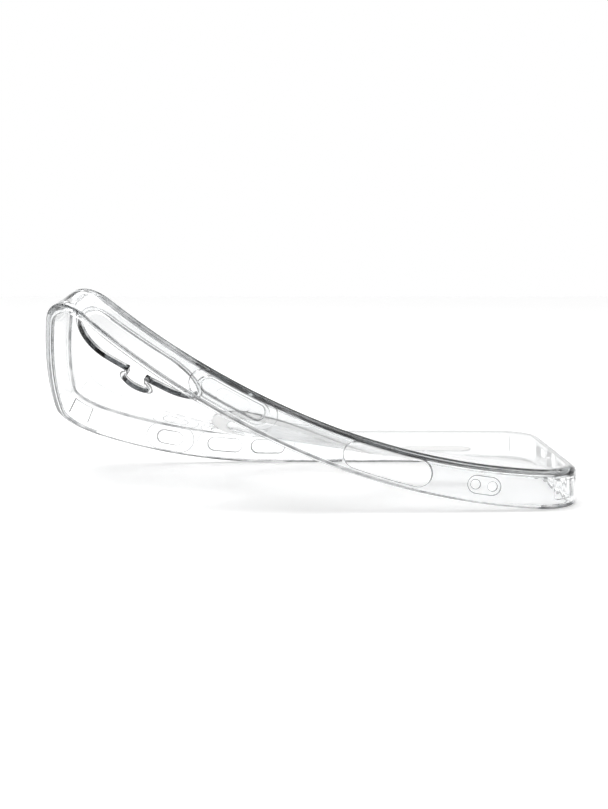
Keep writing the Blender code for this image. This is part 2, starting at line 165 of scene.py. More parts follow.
class CaseMagnetSizes(bpy.types.PropertyGroup):
    """The ring of magnets, the alignment bar, and the white film over them."""

    ring_outer: size("Ring outside", "Outer diameter of the magnet ring", 53.0)
    ring_inner: size("Ring inside", "Inner diameter of the magnet ring", 45.6)
    magnets: number("Magnets", "Number of magnets in the ring", 18)
    magnet_gap: size("Magnet gap", "Room between neighbouring magnets", 0.5)
    magnet_thickness: size("Magnet thickness", "Thickness of each magnet", 0.6)
    magnet_round: size("Magnet rounding", "Rounding of the magnets' long edges", 0.12)
    film: size("Film thickness", "Thickness of the white film", 0.2)
    film_border: size("Film border", "How far the film stands out past the magnets", 0.4)
    bar_gap: size("Bar gap", "From the ring's film to the bar's", 3.0)
    bar_length: size("Bar length", "Length of the bar's film", 20.0)
    bar_width: size("Bar width", "Width of the bar's film", 7.4)


class CaseButtonSizes(bpy.types.PropertyGroup):
    """The covers over the phone's side buttons, each placed by its centre from the phone's top end."""

    power_from_top: size("Power place", "Power button's centre from the top end", 54.4)
    power_length: size("Power length", "Length of the power button's cover", 18.4)
    volume_up_from_top: size("Volume up place", "Volume up button's centre from the top end", 49.2)
    volume_down_from_top: size("Volume down place", "Volume down button's centre from the top end", 62.9)
    volume_length: size("Volume length", "Length of each volume button's cover", 11.0)
    action_from_top: size("Action place", "Action button's centre from the top end", 31.8)
    action_length: size("Action length", "Length of the action button's cover", 8.4)
    button_width: size("Button width", "Width of every button cover", 4.6)
    button_proud: size("Button height", "How far a cover stands past the wall", 0.35)
    button_room: size("Button room", "Room round a cover in its window", 0.25)
    button_round: size("Button rounding", "Rounding of a cover's outer edge", 0.3)
    button_travel: size("Button travel", "How far a cover can be pressed", 0.4)
    flange_border: size("Flange border", "How far a cover's hidden flange stands out past it", 0.9)
    flange: size("Flange", "Thickness of the hidden flange", 0.3)
    pad_width: size("Pad width", "Width of the pad that presses the phone's button", 3.8)
    pad_proud: size("Pad height", "How far the pad stands past the flange", 0.3)
    pad_share: amount("Pad share", "Share of the cover's length that its pad takes up", 0.52)
    groove_border: size("Groove border", "How far the groove runs past each end of a cover", 3.2)
    groove_width: size("Groove width", "Width of the groove round the covers", 8.3)
    groove_depth: size("Groove depth", "Depth of the groove in the wall", 0.45)
    groove_round: size("Groove rounding", "Rounding of the groove's edges", 0.2)


class CaseOpeningSizes(bpy.types.PropertyGroup):
    """The openings in the walls."""

    control_from_top: size("Control place", "Camera control opening's centre from the top end", 97.5)
    control_length: size("Control length", "Length of the camera control opening", 23.2)
    control_width: size("Control width", "Width of the camera control opening", 7.2)
    strap_from_bottom: size("Strap place", "Strap recess's centre from the bottom end", 24.7)
    strap_length: size("Strap recess length", "Length of the strap recess", 8.3)
    strap_width: size("Strap recess width", "Width of the strap recess", 4.5)
    strap_depth: size("Strap recess depth", "Depth of the strap recess", 0.5)
    strap_hole: size("Strap hole", "Diameter of each strap hole", 2.4)
    strap_spacing: size("Strap spacing", "From one strap hole's centre to the other's", 4.4)
    port_length: size("Port length", "Length of the charging port's opening", 13.0)
    port_width: size("Port width", "Width of the charging port's opening", 6.2)
    speaker_margin: size("Speaker margin", "Wall between a speaker slot and its neighbours", 1.9)
    speaker_width: size("Speaker width", "Width of each speaker slot", 3.4)
    opening_round: size("Opening rounding", "Rounding of every opening's edges", 0.3)
    pocket_depth: size("Air pocket depth", "Depth of the air pocket inside each corner", 0.8)
    pocket_height: size("Air pocket height", "Height of the air pocket inside each corner", 5.0)
    pocket_half_angle: turn("Air pocket angle", "Half of the angle that an air pocket spans", 18)


class CaseFineness(bpy.types.PropertyGroup):
    """How finely round things are cut."""

    corner_steps: number("Corner steps", "Steps round each corner in plan", 18)
    edge_steps: number("Edge steps", "Steps round each rounded edge", 8)
    fine_steps: number("Fine edge steps", "Steps round each small rounded edge", 4)
    pill_steps: number("Pill steps", "Steps round each end of a slot or button", 24)
    camera_steps: number("Camera steps", "Steps round each end of the camera opening", 40)
    ring_steps: number("Ring steps", "Steps round the magnet ring", 216)


class CaseFinishes(bpy.types.PropertyGroup):
    """Colours and finishes."""

    rim_tint: tint("Rim colour", "Tint of the soft clear rim", (0.985, 0.99, 0.992))
    sheet_tint: tint("Back colour", "Tint of the hard clear back", (0.988, 0.992, 0.995))
    # painted shade: the dark grey mixed into the clear plastic on its edges and openings' walls, where the
    # real edges look dark by the light they bend
    edge_shade_colour: tint("Edge colour", "Tint of the edges and of the openings' walls", (0.13, 0.135, 0.14))
    film_tint: tint("Film colour", "Colour of the film over the magnets", (0.86, 0.86, 0.855))
    magnet_tint: tint("Magnet colour", "Colour of the plated magnets", (0.60, 0.60, 0.61))
    depth_tint: tint("Depth colour", "What thick clear plastic turns towards", (0.55, 0.57, 0.58))
    depth_density: amount("Depth density", "How fast thick clear plastic darkens, per metre", 60.0, 1000.0)


class CaseStudio(bpy.types.PropertyGroup):
    """The floor, the light and the camera."""

    floor_size: size("Floor size", "Side of the floor", 3000.0)
    floor_tint: tint("Floor colour", "Colour of the floor", (0.8, 0.8, 0.8))
    floor_glow: amount("Floor glow", "Brightness of the floor itself, as of a lit table", 0.45, 10.0)
    horizon_light: amount("Horizon light", "Brightness of the surroundings near the horizon", 1.05, 10.0)
    zenith_light: amount("Zenith light", "Brightness of the surroundings overhead", 0.24, 10.0)
    side_light: amount("Side light", "Brightness of the surroundings to the left and right", 0.08, 10.0)
    window_power: amount("Window light", "Strength of the soft light from high up behind", 1.6, 1000.0)
    key_power: amount("Overhead light", "Power of the soft light overhead, in watts", 3.0, 1000.0)
    camera_pitch: turn("Camera pitch", "How far the camera looks down", 7.334)
    camera_lens: bpy.props.FloatProperty(
        name="Lens", description="Focal length, in millimetres", default=52.41, unit="CAMERA"
    )


GROUPS = {
    "case_body": CaseBodySizes,
    "case_peel": CasePeelSizes,
    "case_camera": CaseCameraSizes,
    "case_magnets": CaseMagnetSizes,
    "case_buttons": CaseButtonSizes,
    "case_openings": CaseOpeningSizes,
    "case_fineness": CaseFineness,
    "case_finishes": CaseFinishes,
    "case_studio": CaseStudio,
}


def sizes():
    """Every property by its name, lengths in millimetres, and the places worked out from them."""
    s = SimpleNamespace()
    for group in GROUPS:
        held = getattr(bpy.context.scene, group)
        for prop in held.bl_rna.properties:
            if prop.identifier in ("rna_type", "name"):
                continue
            value = getattr(held, prop.identifier)
            setattr(s, prop.identifier, value / MM if prop.unit == "LENGTH" else value)
    s.half_length = s.phone_length / 2
    s.half_width = s.phone_width / 2
    s.middle = s.phone_thickness / 2
    s.inner_z = s.phone_thickness + s.fit / 2
    s.outer_z = s.inner_z + s.back
    s.tongue_low = s.inner_z + s.tongue_cover
    s.tongue_high = s.outer_z - s.tongue_cover
    s.camera_centre = (
        s.camera_to_top + s.camera_length / 2 - s.half_length,
        s.camera_to_side + s.camera_width / 2 - s.half_width,
    )
    s.flash_centre = (s.camera_centre[0], s.camera_centre[1] + s.camera_width / 2 + s.flash_step)
    s.film_low = s.ring_inner / 2 - s.film_border
    s.film_high = s.ring_outer / 2 + s.film_border
    s.bar_centre = (s.film_high + s.bar_gap + s.bar_length / 2, 0)
    s.film_recess = s.film + s.gap
    s.magnet_low = s.inner_z + s.film_recess
    s.flange_back = s.half_width + s.fit + s.button_travel
    s.buttons = (
        # node, body, the side its wall is on, centre along the phone, length of the cover
        ("power_button_cover", "power_button", -1, s.power_from_top, s.power_length),
        ("volume_up_cover", "volume_up_button", 1, s.volume_up_from_top, s.volume_length),
        ("volume_down_cover", "volume_down_button", 1, s.volume_down_from_top, s.volume_length),
        ("action_button_cover", "action_button", 1, s.action_from_top, s.action_length),
    )
    s.heading = Vector((-math.cos(s.fold_angle), -math.sin(s.fold_angle), 0))
    s.fold_line = Vector((-math.sin(s.fold_angle), math.cos(s.fold_angle), 0))
    s.fold_point = Vector((s.fold_at, -s.half_width, s.outer_z))
    rim_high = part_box("bumper_frame")[1] / MM
    far_side = [
        rolled(s, (x, s.half_width + out, z)).y
        for x in range(round(s.phone_corner - s.half_length), 0)
        for out, z in rim_section(s)
    ]
    s.stand = Vector((rim_high[0] - s.half_length - s.wall, rim_high[1] - max(far_side), s.lip_drop))
    return s


# ---------------------------------------------------------------- outlines
def arc(centre, radius, start, end, steps):
    """Points on an arc between two angles in degrees."""
    points = []
    for step in range(steps + 1):
        angle = math.radians(start + (end - start) * step / steps)
        points.append((centre[0] + radius * math.cos(angle), centre[1] + radius * math.sin(angle)))
    return points


def rounded_rectangle(s, outset):
    """The phone's plan outline, stood off by outset, counter-clockwise."""
    radius = s.phone_corner + outset
    points = []
    for quarter, (sx, sy) in enumerate(CORNER_SIGNS):
        centre = (sx * (s.half_length - s.phone_corner), sy * (s.half_width - s.phone_corner))
        points += arc(centre, radius, 90 * quarter, 90 * (quarter + 1), s.corner_steps)
    return points


def pill(centre, length, width, steps):
    """A slot with round ends, counter-clockwise, lying along its first axis."""
    radius = width / 2
    reach = length / 2 - radius
    right = arc((centre[0] + reach, centre[1]), radius, -90, 90, steps)
    return right + arc((centre[0] - reach, centre[1]), radius, 90, 270, steps)


def circle(centre, diameter, steps):
    return arc(centre, diameter / 2, 0, 360, steps)[:-1]


def sector(centre, inner, outer, start, end, steps):
    """A slice of a flat ring between two angles in degrees."""
    return arc(centre, outer, start, end, steps) + arc(centre, inner, end, start, steps)


def quarter_round(radius, steps):
    """How far a rounded edge stands back from its one face and from its other, step by step."""
    angles = [math.pi / 2 * step / steps for step in range(steps + 1)]
    return [(radius * (1 - math.cos(angle)), radius * (1 - math.sin(angle))) for angle in angles]


# ---------------------------------------------------------------- solids
def linked(name, data):
    made = bpy.data.objects.new(name, data)
    bpy.context.scene.collection.objects.link(made)
    return made


def loft(name, rings, closed=False):
    """One solid skinned over rings of the same count: capped at its two ends, or joined into a hoop."""
    bm = bmesh.new()
    rows = [[bm.verts.new(point) for point in ring] for ring in rings]
    count = len(rows[0])
    pairs = list(zip(rows, rows[1:]))
    if closed:
        pairs.append((rows[-1], rows[0]))
    for low, high in pairs:
        for i in range(count):
            j = (i + 1) % count
            bm.faces.new((low[i], low[j], high[j], high[i]))
    if not closed:
        bm.faces.new(rows[0])
        bm.faces.new(rows[-1])
    bmesh.ops.recalc_face_normals(bm, faces=bm.faces[:])
    mesh = bpy.data.meshes.new(name)
    bm.to_mesh(mesh)
    bm.free()
    return linked(name, mesh)


def mark(item, kind, axis=None, most=2.0, least=0.0):
    """Marks faces as a kind of edge, which sets their painted edge shade: all of them, or those whose normal
    leans this much along an axis.
    """
    while len(item.data.materials) <= CUT:
        item.data.materials.append(None)
    for face in item.data.polygons:
        lean = 1.0 if axis is None else abs(face.normal[axis])
        if least <= lean <= most:
            face.material_index = kind
    return item


def upright(name, rings):
    """A solid standing on plan outlines, each given with its height."""
    solid = loft(name, [[(x, y, z) for x, y in outline] for outline, z in rings])
    return mark(solid, CUT, axis=2, most=SQUARE_ON)


def across(name, rings):
    """A solid through a long wall: outlines are (along, height), each given with its place in y."""
    solid = loft(name, [[(x, y, z) for x, z in outline] for outline, y in rings])
    return mark(solid, CUT, axis=1, most=SQUARE_ON)


def along(name, rings):
    """A solid through an end wall: outlines are (across, height), each given with its place in x."""
    solid = loft(name, [[(x, y, z) for y, z in outline] for outline, x in rings])
    return mark(solid, CUT, axis=0, most=SQUARE_ON)


def settle(item):
    """Turns an object with modifiers into a plain mesh."""
    bpy.context.view_layer.update()
    graph = bpy.context.evaluated_depsgraph_get()
    mesh = bpy.data.meshes.new_from_object(item.evaluated_get(graph))
    item.modifiers.clear()
    old = item.data
    item.data = mesh
    bpy.data.meshes.remove(old)
    return item


def combine(target, operation, tools):
    """Cuts away, or adds on, each tool in turn, and removes the tools."""
    for tool in tools:
        step = target.modifiers.new(tool.name, "BOOLEAN")
        step.solver = "EXACT"
        step.operation = operation
        step.object = tool
    settle(target)
    for tool in tools:
        data = tool.data
        bpy.data.objects.remove(tool, do_unlink=True)
        bpy.data.meshes.remove(data)
    return target


def flared(face, inward, depth, radius, steps):
    """How far a cut's outline grows, at each place along it, so that its edge at the face is rounded."""
    rounding = [(out, face + inward * deep) for deep, out in quarter_round(radius, steps)]
    return [(radius, face - inward * 2 * OVERCUT), *rounding, (0, face + inward * depth)]


# ---------------------------------------------------------------- the peel
def rolled(s, point):
    """Where a point of the flat case goes. The back's outer face is the layer that keeps its length."""
    offset = Vector(point) - s.fold_point
    run = offset.dot(s.heading)
    if run <= 0:
        return Vector(point)
    first_radius = s.first_arc / s.first_turn
    side = offset.dot(s.fold_line)
    angle = min(run / first_radius, s.first_turn)
    reach = first_radius * math.sin(angle)
    lift = first_radius * (1 - math.cos(angle))
    if run > s.first_arc:
        angle += (run - s.first_arc) / s.later_radius
        reach += s.later_radius * (math.sin(angle) - math.sin(s.first_turn))
        lift += s.later_radius * (math.cos(s.first_turn) - math.cos(angle))
    reach -= offset.z * math.sin(angle)
    lift += offset.z * math.cos(angle)
    return s.fold_point + s.heading * reach + s.fold_line * side + UP * lift


def flex(s, item):
    """Slices the flat piece along the roll's lines, rolls it, and moves it onto the packed case."""
    bm = bmesh.new()
    bm.from_mesh(item.data)
    runs = [(vert.co - s.fold_point).dot(s.heading) for vert in bm.verts]
    line = max(0.0, s.slice * math.ceil(min(runs) / s.slice))
    while line < max(runs):
        bmesh.ops.bisect_plane(
            bm,
            geom=bm.verts[:] + bm.edges[:] + bm.faces[:],
            dist=WELD,
            plane_co=s.fold_point + s.heading * line,
            plane_no=s.heading,
        )
        line += s.slice
    bmesh.ops.remove_doubles(bm, verts=bm.verts[:], dist=10 * WELD)
    bmesh.ops.triangulate(bm, faces=bm.faces[:])
    for vert in bm.verts:
        vert.co = (rolled(s, vert.co) + s.stand) * MM
    bmesh.ops.recalc_face_normals(bm, faces=bm.faces[:])
    bm.to_mesh(item.data)
    bm.free()


def paint_edge_shade(item):
    """Writes each face's mark where its finish reads it as the strength of its painted edge shade, from 0,
    flat, to 1, an opening's wall.
    """
    edge = item.data.attributes.new("edge", "FLOAT", "FACE")
    for place, face in zip(edge.data, item.data.polygons):
        place.value = face.material_index / CUT
        face.material_index = 0


def finish_piece(s, item, finish, body, nodes, smooth=35):
    """Rolls, smooths and finishes a piece, ties it to its body, and hides the nodes it stands for."""
    flex(s, item)
    paint_edge_shade(item)
    item.data.shade_smooth()
    item.data.set_sharp_from_angle(angle=math.radians(smooth))
    weigh = item.modifiers.new("even normals", "WEIGHTED_NORMAL")
    weigh.keep_sharp = True
    settle(item)
    item.data.materials.clear()
    item.data.materials.append(finish)
    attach(item, body)
    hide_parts(*nodes)


# ---------------------------------------------------------------- nodes
def fill(socket, value):
    """Joins a socket to another node's output, or sets its value."""
    if isinstance(value, bpy.types.NodeSocket):
        socket.id_data.links.new(value, socket)
    else:
        socket.default_value = value


def node_maker(tree):
    """A function that adds a node to a tree, with its own settings made and its sockets filled by name."""

    def add(kind, settings=(), **inputs):
        node = tree.nodes.new(kind)
        for key, value in dict(settings).items():
            setattr(node, key, value)
        for key, value in inputs.items():
            fill(node.inputs[key.replace("_", " ")], value)
        return node

    return add


def worked_out(add, operation, *values):
    node = add("ShaderNodeMath", {"operation": operation})
    for socket, value in zip(node.inputs, values):
        fill(socket, value)
    return node.outputs["Value"]


def geometry_tree(name, kinds):
    """A Geometry Nodes tree with these named inputs: the tree, its node maker and what it is given."""
    tree = bpy.data.node_groups.new(name, "GeometryNodeTree")
    for key, kind in kinds.items():
        tree.interface.new_socket(key, in_out="INPUT", socket_type=f"NodeSocket{kind}")
    tree.interface.new_socket("Geometry", in_out="OUTPUT", socket_type="NodeSocketGeometry")
    add = node_maker(tree)
    return tree, add, add("NodeGroupInput").outputs


def swept(add, path, section, **inputs):
    """Sweeps a section, drawn in x and y, along a level path."""
    level = add("GeometryNodeSetCurveNormal", {"mode": "Z_UP"}, Curve=path)
    curve = add("GeometryNodeMeshToCurve", Mesh=section).outputs["Curve"]
    sweep = add("GeometryNodeCurveToMesh", Curve=level.outputs["Curve"], Profile_Curve=curve, **inputs)
    return sweep.outputs["Mesh"]


def end_tree(add, geometry, material):
    whole = add("GeometryNodeRealizeInstances", Geometry=geometry).outputs["Geometry"]
    coat = add("GeometryNodeSetMaterial", Geometry=whole, Material=material)
    add("NodeGroupOutput", Geometry=coat.outputs["Geometry"])


# ---------------------------------------------------------------- the rim
def rim_section(s):
    """The rim cut across: (out from the phone's side, height), once round."""
    groove_end = s.tongue + s.gap - s.seam
    inset = s.lip_inset - s.lip_ease
    return (
        [(-s.seam, s.outer_z)]
        + arc((s.wall - s.edge_radius, s.outer_z - s.edge_radius), s.edge_radius, 90, 0, s.edge_steps)
        + arc((s.wall - s.lip_radius, s.lip_radius - s.lip_drop), s.lip_radius, 0, -90, s.edge_steps)
        + arc((-inset, s.lip_ease - s.lip_drop), s.lip_ease, -90, -180, s.fine_steps)
        + [
            (-s.lip_inset, -s.fit / 2),
            (s.fit, -s.fit / 2),
        ]
        + arc((s.fit - s.inner_radius, s.inner_z - s.inner_radius), s.inner_radius, 0, 90, s.edge_steps)
        + [
            (-s.seam, s.inner_z),
            (-s.seam, s.tongue_low - s.gap),
            (groove_end, s.tongue_low - s.gap),
            (groove_end, s.tongue_high + s.gap),
            (-s.seam, s.tongue_high + s.gap),
        ]
    )


def sweep_tree():
    """Sweeps a section round a rectangle with rounded corners."""
    kinds = {
        "Section": "Geometry",
        "Length": "Float",
        "Width": "Float",
        "Corner Radius": "Float",
        "Corner Steps": "Int",
        "Material": "Material",
    }
    tree, add, given = geometry_tree("rim_sweep", kinds)
    plan = add("GeometryNodeCurvePrimitiveQuadrilateral", Width=given["Length"], Height=given["Width"])
    fillet = add(
        "GeometryNodeFilletCurve",
        {"mode": "POLY"},
        Curve=plan.outputs["Curve"],
        Radius=given["Corner Radius"],
        Count=given["Corner Steps"],
    )
    end_tree(add, swept(add, fillet.outputs["Curve"], given["Section"]), given["Material"])
    return tree


def run_tree(item, tree, inputs):
    """Runs a Geometry Nodes tree on an object, with inputs given by their names, and keeps the mesh."""
    step = item.modifiers.new(tree.name, "NODES")
    step.node_group = tree
    sockets = {
        socket.name: socket.identifier
        for socket in tree.interface.items_tree
        if socket.in_out == "INPUT"
    }
    for name, value in inputs.items():
        step[sockets[name]] = value
    settle(item)
    bpy.data.node_groups.remove(tree)
    bm = bmesh.new()
    bm.from_mesh(item.data)
    bmesh.ops.remove_doubles(bm, verts=bm.verts[:], dist=WELD)
    bmesh.ops.recalc_face_normals(bm, faces=bm.faces[:])
    bm.to_mesh(item.data)
    bm.free()
    return item


def outline_object(name, points):
    """A closed loop of edges, for a sweep, which lays the loop's own y axis downwards."""
    mesh = bpy.data.meshes.new(name)
    count = len(points)
    mesh.from_pydata([(x, -y, 0) for x, y in points], [(i, (i + 1) % count) for i in range(count)], [])
    return linked(name, mesh)


def swept_rim(s, coat):
    rim = outline_object("soft_rim", rim_section(s))
    inputs = {
        "Length": s.phone_length,
        "Width": s.phone_width,
        "Corner Radius": s.phone_corner,
        "Corner Steps": s.corner_steps,
        "Material": coat,
    }
    return run_tree(rim, sweep_tree(), inputs)


def slot_cut(name, run, centre, length, width, places, steps):
    """A cut with round ends through a wall, whose outline grows as the places say."""
    return run(name, [(pill(centre, length + 2 * grow, width + 2 * grow, steps), at) for grow, at in places])


def button_cuts(s):
    """A groove round each button (one for both volume buttons), its window, and its flange's pocket."""
    tools = []
    for first, last in ((0, 0), (1, 2), (3, 3)):
        side = s.buttons[first][2]
        low = s.buttons[first][3] - s.buttons[first][4] / 2 - s.groove_border
        high = s.buttons[last][3] + s.buttons[last][4] / 2 + s.groove_border
        face = side * (s.half_width + s.wall)
        centre = ((low + high) / 2 - s.half_length, s.middle)
        places = flared(face, -side, s.groove_depth, s.groove_round, s.fine_steps)
        tools.append(slot_cut("groove", across, centre, high - low, s.groove_width, places, s.pill_steps))
    for _node, _body, side, from_top, length in s.buttons:
        centre = (from_top - s.half_length, s.middle)
        inside = side * (s.half_width - OVERCUT / 2)
        room = s.button_room
        window = [(room, side * (s.half_width + s.wall + OVERCUT)), (room, inside)]
        tools.append(slot_cut("window", across, centre, length, s.button_width, window, s.pill_steps))
        grow = s.flange_border + room
        pocket = [(grow, inside), (grow, side * (s.flange_back + s.flange + s.gap))]
        tools.append(slot_cut("pocket", across, centre, length, s.button_width, pocket, s.pill_steps))
    return tools


def through_wall(s, face, inward):
    """Places for a cut right through a wall, rounded on its outer side."""
    return flared(face, inward, s.wall + OVERCUT, s.opening_round, s.fine_steps)


def wall_cuts(s):
    """The openings in the near wall and in the end wall."""
    near = -s.half_width - s.wall
    end = s.half_length + s.wall
    strap = s.half_length - s.strap_from_bottom
    control = (s.control_from_top - s.half_length, s.middle)
    through = through_wall(s, near, 1)
    shallow = flared(near, 1, s.strap_depth, s.opening_round, s.fine_steps)
    tools = [
        slot_cut("control", across, control, s.control_length, s.control_width, through, s.pill_steps),
        slot_cut("strap", across, (strap, s.middle), s.strap_length, s.strap_width, shallow, s.pill_steps),
    ]
    out = through_wall(s, end, -1)
    tools.append(slot_cut("port", along, (0, s.middle), s.port_length, s.port_width, out, s.pill_steps))
    straight = s.half_width - s.phone_corner
    slot = straight - s.port_length / 2 - 2 * s.speaker_margin
    for side in (-1, 1):
        centre = (strap + side * s.strap_spacing / 2, s.middle)
        hole = flared(near + s.strap_depth, 1, s.wall + OVERCUT, s.groove_round, s.fine_steps)
        rings = [(circle(centre, s.strap_hole + 2 * grow, 2 * s.pill_steps), at) for grow, at in hole]
        tools.append(across("strap_hole", rings))
        place = (side * (s.port_length / 2 + straight) / 2, s.middle)
        tools.append(slot_cut("speaker", along, place, slot, s.speaker_width, out, s.pill_steps))
    return tools


def corner_cuts(s):
    """The air pocket inside each corner."""
    tools = []
    for quarter, (sx, sy) in enumerate(CORNER_SIGNS):
        centre = (sx * (s.half_length - s.phone_corner), sy * (s.half_width - s.phone_corner))
        middle = 90 * quarter + 45
        half = math.degrees(s.pocket_half_angle)
        outer = s.phone_corner + s.fit + s.pocket_depth
        nearest = s.phone_corner - OVERCUT / 2
        outline = sector(centre, nearest, outer, middle - half, middle + half, s.edge_steps)
        low = s.middle - s.pocket_height / 2
        tools.append(mark(upright("air", [(outline, low), (outline, low + s.pocket_height)]), CUT))
    return tools


def clear_pockets(s, rim):
    """Takes the painted edge shade off the curved back of each corner's air pocket, which leaves painted
    shade only on its outline.
    """
    back = s.phone_corner + s.fit + s.pocket_depth
    for face in rim.data.polygons:
        x, y, _z = face.center
        past = (abs(x) - s.half_length + s.phone_corner, abs(y) - s.half_width + s.phone_corner)
        if min(past) > 0 and abs(face.normal.z) < 0.1 and abs(math.hypot(*past) - back) < s.fit:
            face.material_index = PLAIN


def mark_creases(s, rim):
    """Marks the rim's rounded edges for half the painted edge shade, and the lip's and the inner corner's
    for the full painted shade, as strongly as an opening's.
    """
    mark(rim, ROUNDED, axis=2, least=0.5, most=0.97)
    mark(rim, PLAIN, axis=2, least=SQUARE_ON)
    inner_corner = s.inner_z - s.inner_radius
    for face in rim.data.polygons:
        x, y, z = face.center
        inside = abs(x) < s.half_length + s.fit and abs(y) < s.half_width + s.fit
        lip = z < 0 and abs(face.normal.z) < SQUARE_ON
        if lip or (face.material_index == ROUNDED and inside and inner_corner < z < s.inner_z):
            face.material_index = CUT


# ---------------------------------------------------------------- the back sheet
def ring_hoop(s, name, inner, outer, low, high):
    """A flat ring round the phone's centre."""
    corners = ((inner, low), (outer, low), (outer, high), (inner, high))
    rings = [[(x, y, z) for x, y in circle((0, 0), 2 * radius, s.ring_steps)] for radius, z in corners]
    return mark(loft(name, rings, closed=True), CUT, axis=2, most=SQUARE_ON)


def neck(s, out):
    """The neck from the camera opening to the flash hole, widened on both sides by out."""
    middle = (s.camera_centre[1] + s.flash_centre[1]) / 2
    reach = (s.flash_centre[1] - s.camera_centre[1]) / 2
    half = s.flash_neck / 2 + out
    signs = ((-1, -1), (1, -1), (1, 1), (-1, 1))
    return [(s.flash_centre[0] + x * half, middle + y * reach) for x, y in signs]


def camera_outlines(s, name, places):
    """The camera opening, the flash hole and the neck between them, each grown as the places say."""
    camera = []
    flash = []
    joined = []
    for grow, z in places:
        size_x = s.camera_length + 2 * grow
        size_y = s.camera_width + 2 * grow
        camera.append((pill(s.camera_centre, size_x, size_y, s.camera_steps), z))
        flash.append((circle(s.flash_centre, s.flash_diameter + 2 * grow, 2 * s.pill_steps), z))
        joined.append((neck(s, grow), z))
    return [upright(name, camera), upright(name, flash), upright(name, joined)]


def sheet_body(s):
    edge = -s.seam - s.gap
    levels = (
        (edge, s.outer_z),
        (edge, s.tongue_high),
        (edge + s.tongue, s.tongue_high),
        (edge + s.tongue, s.tongue_low),
        (edge, s.tongue_low),
        (edge, s.inner_z),
    )
    return upright("hard_back", [(rounded_rectangle(s, out), z) for out, z in levels])


def sheet_rims(s):
    """The low raised edges round the openings, rounded on top."""
    top = s.outer_z + s.camera_rim_height
    rounding = quarter_round(s.camera_rim_height, s.fine_steps)
    places = [(s.camera_rim - back, top - down) for back, down in rounding]
    foot = (s.camera_rim, s.outer_z - s.camera_rim_height)
    return camera_outlines(s, "raised_edge", [foot, *places])


def sheet_cuts(s):
    """The openings, and the recesses that hold the magnets and their film."""
    top = s.outer_z + s.camera_rim_height
    radius = s.camera_round
    down = flared(top, -1, s.back, radius, s.fine_steps)[:-1]
    up = flared(s.inner_z, 1, s.back, radius, s.fine_steps)[:-1]
    tools = camera_outlines(s, "opening", down + up[::-1])
    under = s.inner_z - OVERCUT
    over = top + OVERCUT
    for grow, low, high in (
        (s.gap - s.film_border, under, s.magnet_low + s.magnet_thickness + s.gap),
        (s.gap, under, s.inner_z + s.film_recess),
        (s.gap, s.outer_z - s.film_recess, over),
    ):
        tools.append(ring_hoop(s, "ring_room", s.film_low - grow, s.film_high + grow, low, high))
        outline = pill(s.bar_centre, s.bar_length + 2 * grow, s.bar_width + 2 * grow, s.pill_steps)
        tools.append(upright("bar_room", [(outline, low), (outline, high)]))
    return tools


# ---------------------------------------------------------------- magnets
def magnet_tree():
    """Sweeps a section along equal arcs of a ring, with a gap between each two."""
    kinds = {
        "Section": "Geometry",
        "Count": "Int",
        "Radius": "Float",
        "Gap": "Float",
        "Steps": "Int",
        "Material": "Material",
    }
    tree, add, given = geometry_tree("magnet_ring", kinds)
    share = worked_out(add, "DIVIDE", math.tau, given["Count"])
    gap_angle = worked_out(add, "DIVIDE", given["Gap"], given["Radius"])
    piece = add(
        "GeometryNodeCurveArc",
        Resolution=given["Steps"],
        Radius=given["Radius"],
        Start_Angle=worked_out(add, "MULTIPLY", gap_angle, 0.5),
        Sweep_Angle=worked_out(add, "SUBTRACT", share, gap_angle),
    )
    magnet = swept(add, piece.outputs["Curve"], given["Section"], Fill_Caps=True)
    places = add("GeometryNodeMeshLine", {"mode": "OFFSET"}, Offset=(0, 0, 0), Count=given["Count"])
    order = add("GeometryNodeInputIndex").outputs["Index"]
    spin = add("ShaderNodeCombineXYZ", Z=worked_out(add, "MULTIPLY", share, order))
    copies = add(
        "GeometryNodeInstanceOnPoints",
        Points=places.outputs["Mesh"],
        Instance=magnet,
        Rotation=spin.outputs["Vector"],
    )
    end_tree(add, copies.outputs["Instances"], given["Material"])
    return tree


def magnet_section(s):
    """A magnet cut across: (out from the middle of the ring's band, height), with rounded corners."""
    half = (s.ring_outer - s.ring_inner) / 4
    radius = s.magnet_round
    high = s.magnet_low + s.magnet_thickness
    low = s.magnet_low
    points = []
    centres = ((1, high - radius), (-1, high - radius), (-1, low + radius), (1, low + radius))
    for quarter, (sx, level) in enumerate(centres):
        points += arc((sx * (half - radius), level), radius, 90 * quarter, 90 * (quarter + 1), s.fine_steps)
    return points


# ---------------------------------------------------------------- button covers
def button_cover(s, name, side, from_top, length):
    """A raised pill with a rounded edge, a flange that keeps it in, and a pad that presses the button."""
    centre = (from_top - s.half_length, s.middle)
    front = s.flange_back + s.flange
    tip = s.half_width + s.wall + s.button_proud
    places = [(s.flange_border, s.flange_back), (s.flange_border, front), (0, front)]
    places += [(-back, tip - down) for back, down in quarter_round(s.button_round, s.fine_steps)]
    places = [(grow, side * at) for grow, at in places]
    cover = slot_cut(name, across, centre, length, s.button_width, places, s.pill_steps)
    pad_length = max(length * s.pad_share, s.pad_width + 1)
    pad_places = [(0, side * (s.flange_back - s.pad_proud)), (0, side * (front - s.flange / 3))]
    pad = slot_cut("pad", across, centre, pad_length, s.pad_width, pad_places, s.pill_steps)
    return combine(cover, "UNION", [pad])


# ---------------------------------------------------------------- finishes
def new_finish(name):
    """An empty node material and its node maker."""
    made = bpy.data.materials.new(name)
    made.use_nodes = True
    made.node_tree.nodes.clear()
    return made, node_maker(made.node_tree)


def spread(add, value, low, high, from_low=0.0, from_high=1.0, kind="LINEAR"):
    """Maps a pattern's range onto another."""
    node = add("ShaderNodeMapRange", {"interpolation_type": kind}, Value=value)
    ends = {"From Min": from_low, "From Max": from_high, "To Min": low, "To Max": high}
    for key, end in ends.items():
        node.inputs[key].default_value = end
    return node.outputs["Result"]


